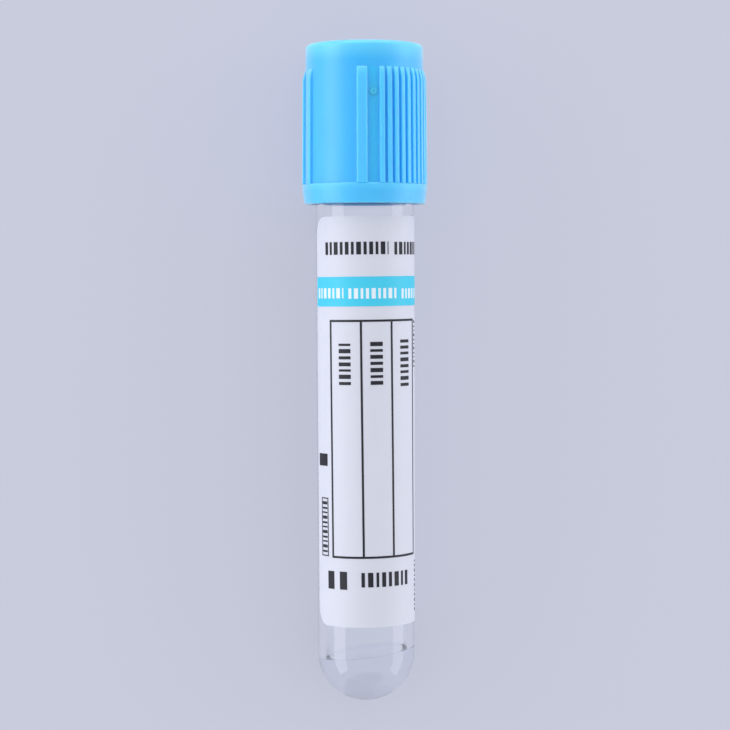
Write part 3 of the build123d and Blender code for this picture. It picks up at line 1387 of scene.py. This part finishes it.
@dataclass
class Label:
    """The wrapped label with its blue band, its ruling and rows of plain blocks.

    Lengths are in mm, stations are along the tube's axis, and angles are in degrees.
    """

    barrel: Barrel
    foot: float = 10.6
    height: float = 53.8
    thickness: float = 0.08
    sink: float = 0.01
    left_angle: float = -72.5
    wrap_angle: float = 307.0
    corner: float = 2.4
    print_thickness: float = 0.03
    print_sink: float = 0.02
    white_lift: float = 0.01
    margin_angle: float = 1.5
    band_foot: float = 52.65
    band_height: float = 3.87
    ruling_foot: float = 19.65
    ruling_top: float = 50.9
    ruling_weight: float = 0.28
    ruling_angles: tuple[float, ...] = (-42.5, -3.9, 32.7, 72.0)
    register_mark: Patch = Patch(-67.8, -50.2, 31.7, 33.3)
    side_frame: Patch = Patch(-62.7, -49.7, 19.8, 27.5)
    side_frame_weight: float = 0.14
    black_rows: tuple[BlockRow, ...] = (
        BlockRow(Patch(-49.8, 29.7, 59.4, 61.05), Run.ROUND, (0.5, 0.36, 0.62, 0.4), 0.34),
        BlockRow(Patch(37.8, 84.0, 59.35, 61.0), Run.ROUND, (0.45, 0.6, 0.36), 0.34),
        BlockRow(Patch(-31.2, -16.4, 42.4, 48.2), Run.ALONG, (0.4, 0.55, 0.3, 0.5), 0.4),
        BlockRow(Patch(6.5, 21.2, 42.4, 48.2), Run.ALONG, (0.5, 0.35, 0.55, 0.4), 0.4),
        BlockRow(Patch(45.2, 60.5, 42.1, 48.2), Run.ALONG, (0.4, 0.5, 0.35), 0.4),
        BlockRow(Patch(-60.6, -51.8, 20.3, 27.0), Run.ALONG, (0.25, 0.4, 0.2), 0.35),
        BlockRow(Patch(-50.8, -24.1, 15.55, 17.9), Run.ROUND, (1.1, 1.3), 0.9),
        BlockRow(Patch(-7.0, 55.0, 15.9, 17.8), Run.ROUND, (0.45, 0.7, 0.36, 0.55), 0.42),
        BlockRow(Patch(76.5, 81.5, 44.5, 50.7), Run.ALONG, (0.2, 0.35, 0.15), 0.35),
        BlockRow(Patch(76.0, 80.0, 12.1, 18.8), Run.ALONG, (0.3, 0.2, 0.4), 0.35),
    )
    white_rows: tuple[BlockRow, ...] = (
        BlockRow(Patch(-66.0, -23.9, 53.72, 55.05), Run.ROUND, (0.45, 0.3, 0.55), 0.34),
        BlockRow(Patch(-17.8, 41.5, 53.65, 55.0), Run.ROUND, (0.4, 0.55, 0.34), 0.34),
        BlockRow(Patch(47.9, 84.0, 53.6, 54.9), Run.ROUND, (0.4, 0.34, 0.5), 0.34),
    )

    @property
    def ink_top(self) -> float:
        """Height of the ink's surface above the barrel's wall."""
        return self.thickness + self.print_thickness

    def ink(
        self, wrap: Wrap, name: str, patches: Sequence[Patch], lift: float = 0.0
    ) -> bpy.types.Object:
        """Builds printed fields as one object, which lies a little into the sheet."""
        return wrap.sheet(name, patches, self.thickness - self.print_sink, self.ink_top + lift)

    def build_sheet(self, wrap: Wrap) -> None:
        """Builds the label's sheet with its rounded corners.

        Args:
            wrap: What lays the sheets on the barrel.
        """
        right_angle = self.left_angle + self.wrap_angle
        patch = Patch(self.left_angle, right_angle, self.foot, self.foot + self.height)
        made = wrap.sheet("wrapped_label", [patch], -self.sink, self.thickness, self.corner)
        dress(made, LABEL_WHITE.material(), Body.TUBE, ["label"])

    def build_band(self, wrap: Wrap) -> None:
        """Builds the blue band, which runs right across the sheet.

        Args:
            wrap: What lays the sheets on the barrel.
        """
        first = self.left_angle + self.margin_angle
        last = self.left_angle + self.wrap_angle - self.margin_angle
        patch = Patch(first, last, self.band_foot, self.band_foot + self.band_height)
        made = self.ink(wrap, "blue_band", [patch])
        dress(made, PRINT_BLUE.material(), Body.TUBE, ["label_band"])

    def build_ruling(self, wrap: Wrap) -> None:
        """Builds the ruled table, the solid mark and the outlined place beside it.

        Args:
            wrap: What lays the sheets on the barrel.
        """
        weight, foot, top = self.ruling_weight, self.ruling_foot, self.ruling_top
        half = math.degrees(weight / 2 / (self.barrel.outside(foot) + self.thickness))
        lines = self.ruling_angles
        first, last = lines[0] - half, lines[-1] + half
        fields = [Patch(first, last, foot, foot + weight), Patch(first, last, top - weight, top)]
        fields.append(self.register_mark)
        fields += [Patch(angle - half, angle + half, foot, top) for angle in lines]
        fields += self.frame_fields(self.side_frame, self.side_frame_weight)
        made = self.ink(wrap, "label_rules", fields)
        dress(made, PRINT_BLACK.material(), Body.TUBE, ["label_ruling"])

    def frame_fields(self, place: Patch, weight: float) -> list[Patch]:
        """The four sides of an outlined place.

        Args:
            place: The outline's outer edges.
            weight: Thickness of its line in mm.

        Returns:
            One field for each side.
        """
        wide = math.degrees(weight / self.barrel.outside(place.foot))
        return [
            Patch(place.start, place.end, place.foot, place.foot + weight),
            Patch(place.start, place.end, place.top - weight, place.top),
            Patch(place.start, place.start + wide, place.foot, place.top),
            Patch(place.end - wide, place.end, place.foot, place.top),
        ]

    def build_rows(self, wrap: Wrap) -> None:
        """Builds the rows of plain black blocks and of plain white ones on the band.

        Args:
            wrap: What lays the sheets on the barrel.
        """
        radius = self.barrel.outside(self.ruling_top) + self.thickness
        for name, rows, lift, finish, slot in (
            ("black_blocks", self.black_rows, 0.0, PRINT_BLACK, Slot.PRINT_BLACK),
            ("white_blocks", self.white_rows, self.white_lift, PRINT_WHITE, Slot.LABEL_WHITE),
        ):
            fields = [block for row in rows for block in row.blocks(radius)]
            dress(self.ink(wrap, name, fields, lift), finish.material(), Body.TUBE)

    def build(self) -> None:
        """Builds the sheet and all of its print."""
        wrap = Wrap(self.barrel)
        self.build_sheet(wrap)
        self.build_band(wrap)
        self.build_ruling(wrap)
        self.build_rows(wrap)


# --- the studio ------------------------------------------------------------------------------


@dataclass(frozen=True)
class Lamp:
    """A soft upright lamp that stands on the floor and faces the tube's middle.

    Attributes:
        name: Name of the lamp.
        place: Place of its foot, along X and Y, in metres.
        radiance: Its brightness, where 1 matches a white card in plain light.
        width: Its width in metres.
        height: Its height in metres.
    """

    name: str
    place: tuple[float, float]
    radiance: float
    width: float = 1.0
    height: float = 0.34

    def build(self) -> None:
        """Builds the lamp, which clear material doesn't show, so that its walls stay calm."""
        data = bpy.data.lights.new(self.name, "AREA")
        data.shape = "RECTANGLE"
        data.size = self.width
        data.size_y = self.height
        data.energy = self.radiance * math.pi * self.width * self.height
        made = bpy.data.objects.new(self.name, data)
        made.location = (*self.place, self.height / 2)
        made.rotation_mode = "QUATERNION"
        inward = Vector((-self.place[0], -self.place[1], 0.0))
        made.rotation_quaternion = inward.to_track_quat("-Z", "Y")
        made.visible_transmission = False
        bpy.context.scene.collection.objects.link(made)


def seen_rays(
    tree: bpy.types.NodeTree, direct: float = 1.0, through: float = 1.0
) -> bpy.types.NodeSocket:
    """Adds nodes that tell the rays which show the background from the rays that light.

    Args:
        tree: The node tree of the floor or the world.
        direct: Value for camera and glossy rays.
        through: Value for transmission rays.

    Returns:
        A socket with that value, which is 0 for all other rays.
    """
    path = add_node(tree, "LightPath")
    highest: bpy.types.NodeSocket | float = 0.0
    for ray, share in (("Camera", direct), ("Glossy", direct), ("Transmission", through)):
        values = {0: path.outputs[f"Is {ray} Ray"], 1: share}
        part = add_node(tree, "Math", values, operation="MULTIPLY").outputs["Value"]
        pick = add_node(tree, "Math", {0: highest, 1: part}, operation="MAXIMUM")
        highest = pick.outputs["Value"]
    return highest


@dataclass
class Studio:
    """The pale floor, the even surrounding light, the lamps and the camera.

    Attributes:
        axis: The tube's axis.
        floor_radius: Radius of the floor in metres.
        floor_depth: Thickness of the floor in metres.
        floor_segments: Sides of the round floor.
        floor_colour: Linear colour of the floor and the background.
        floor_shade: How much darker the floor's mottling gets.
        floor_evenness: Share of that plain colour in what the camera and gloss see.
        floor_through: The same for what is seen through clear material.
        zenith_strength: Strength of the light from above.
        horizon_strength: Strength of the light from all round.
        zenith_reach: Height from which the light is the zenith's, where 1 is straight up.
        camera_station: The camera's station along the tube, in mm.
        camera_height: Its distance from the axis in mm.
        camera_offset: Its distance sideways in mm.
        camera_pitch: Its tilt towards the round end's side in degrees.
        camera_roll: Its roll in degrees.
        camera_range: Nearest and furthest distance that it sees, in metres.
        lens: Its focal length in mm.
        lamps: The lamps.
    """

    axis: TubeAxis
    floor_radius: float = 1.6
    floor_depth: float = 0.01
    floor_segments: int = 96
    floor_colour: Colour = srgb(200, 203, 220)
    floor_shade: float = 0.985
    floor_evenness: float = 0.72
    floor_through: float = 0.97
    zenith_strength: float = 0.72
    horizon_strength: float = 1.3
    zenith_reach: float = 0.75
    camera_station: float = 56.75
    camera_height: float = 305.0
    camera_offset: float = -0.04
    camera_pitch: float = 2.253
    camera_roll: float = 0.18
    camera_range: tuple[float, float] = (0.01, 20.0)
    lens: float = 113.1
    lamps: tuple[Lamp, ...] = (
        Lamp("left_softbox", (-0.55, 0.0), 1.75),
        Lamp("right_softbox", (0.55, 0.0), 1.2),
        Lamp("end_softbox", (0.0, 0.60), 1.5),
    )

    def build_floor(self) -> None:
        """Builds the floor as a shallow round slab."""
        turns = spread(0.0, 2 * math.pi, self.floor_segments)[:-1]
        rim = [Vector((math.cos(t), math.sin(t), 0.0)) * self.floor_radius for t in turns]
        drop = Vector((0.0, 0.0, -self.floor_depth))
        floor = skin("floor", [[p + drop for p in rim], rim], Ends.FLAT, crease=30.0)
        floor.data.materials.append(self.floor_material())

    def floor_material(self) -> bpy.types.Material:
        """Builds the floor's finish: matt, uneven, and with soft shadows as it is seen.

        Returns:
            The material. Part of what is seen of it is its own even colour.
        """
        made = SheetFinish(
            "studio_floor",
            colour=self.floor_colour,
            second=tuple(self.floor_shade * c for c in self.floor_colour[:3]) + (1.0,),
            roughness=(0.7, 0.8),
            grain=300.0,
            mottle=6.0,
            relief=0.01,
            relief_strength=0.1,
            gloss=0.1,
        ).material()
        tree = made.node_tree
        even = add_node(tree, "Emission", {"Color": self.floor_colour})
        matt = tree.nodes["Principled BSDF"].outputs["BSDF"]
        share = seen_rays(tree, self.floor_evenness, self.floor_through)
        self.show(tree, "Material Output", (share, matt, even.outputs["Emission"]))
        return made

    @staticmethod
    def show(
        tree: bpy.types.NodeTree, output: str, parts: tuple[bpy.types.NodeSocket, ...]
    ) -> None:
        """Mixes two shaders by a share, and sends the mix to a tree's output.

        Args:
            tree: The nodes of the floor or the world.
            output: Name of the output node.
            parts: The share, the shader that it starts from and the one that it turns to.
        """
        mix = add_node(tree, "MixShader", dict(enumerate(parts)))
        fill(tree, tree.nodes[output], {"Surface": mix.outputs["Shader"]})

    def build_world(self) -> None:
        """Builds the even light all round, which the camera sees as the floor's colour."""
        world = bpy.data.worlds.new("studio_world")
        bpy.context.scene.world = world
        world.use_nodes = True
        tree = world.node_tree
        place = add_node(tree, "TexCoord").outputs["Generated"]
        height = add_node(tree, "SeparateXYZ", {"Vector": place}).outputs["Z"]
        limits = {
            "From Min": 0.0,
            "From Max": self.zenith_reach,
            "To Min": self.horizon_strength,
            "To Max": self.zenith_strength,
        }
        fall = add_node(
            tree, "MapRange", limits | {"Value": height}, interpolation_type="SMOOTHSTEP"
        )
        even = tree.nodes["Background"]
        fill(tree, even, {"Color": (1.0, 1.0, 1.0, 1.0), "Strength": fall.outputs["Result"]})
        seen = add_node(tree, "Background", {"Color": self.floor_colour})
        shaders = even.outputs["Background"], seen.outputs["Background"]
        self.show(tree, "World Output", (seen_rays(tree), *shaders))

    def build_camera(self) -> None:
        """Builds the camera, which looks down on the label's front."""
        pitch, roll = math.radians(self.camera_pitch), math.radians(self.camera_roll)
        place = self.axis.point(self.camera_height, 0.0, self.camera_station)
        place += self.axis.side * (self.camera_offset * MM)
        ahead = -self.axis.front * math.cos(pitch) - self.axis.along * math.sin(pitch)
        level = ahead.cross(self.axis.along).normalized()
        up = Matrix.Rotation(roll, 3, ahead) @ level.cross(ahead).normalized()
        data = bpy.data.cameras.new("camera")
        data.lens = self.lens
        data.clip_start, data.clip_end = self.camera_range
        camera = bpy.data.objects.new("camera", data)
        turn = Matrix((ahead.cross(up), up, -ahead)).transposed()
        camera.matrix_world = Matrix.Translation(place) @ turn.to_4x4()
        bpy.context.scene.collection.objects.link(camera)
        bpy.context.scene.camera = camera

    def build(self) -> None:
        """Builds the whole studio."""
        bpy.context.scene.view_settings.view_transform = "Standard"
        self.build_camera()
        self.build_floor()
        self.build_world()
        for lamp in self.lamps:
            lamp.build()
        LOG.info("studio: a floor, a world, a camera and %d lamps", len(self.lamps))


def main() -> None:
    """Builds the studio and the tube, piece by piece."""
    logging.basicConfig(level=logging.INFO, format="%(name)s %(message)s")
    axis = TubeAxis.from_frame("barrel", BARREL_MOUNT_STATION, "closure_pull", UPPERMOST_ANGLE)
    Studio(axis).build()
    barrel = Barrel(axis)
    barrel.build()
    Solution(barrel).build()
    Cap(axis).build()
    Stopper(axis).build()
    Label(barrel).build()


if __name__ == "__main__":
    main()
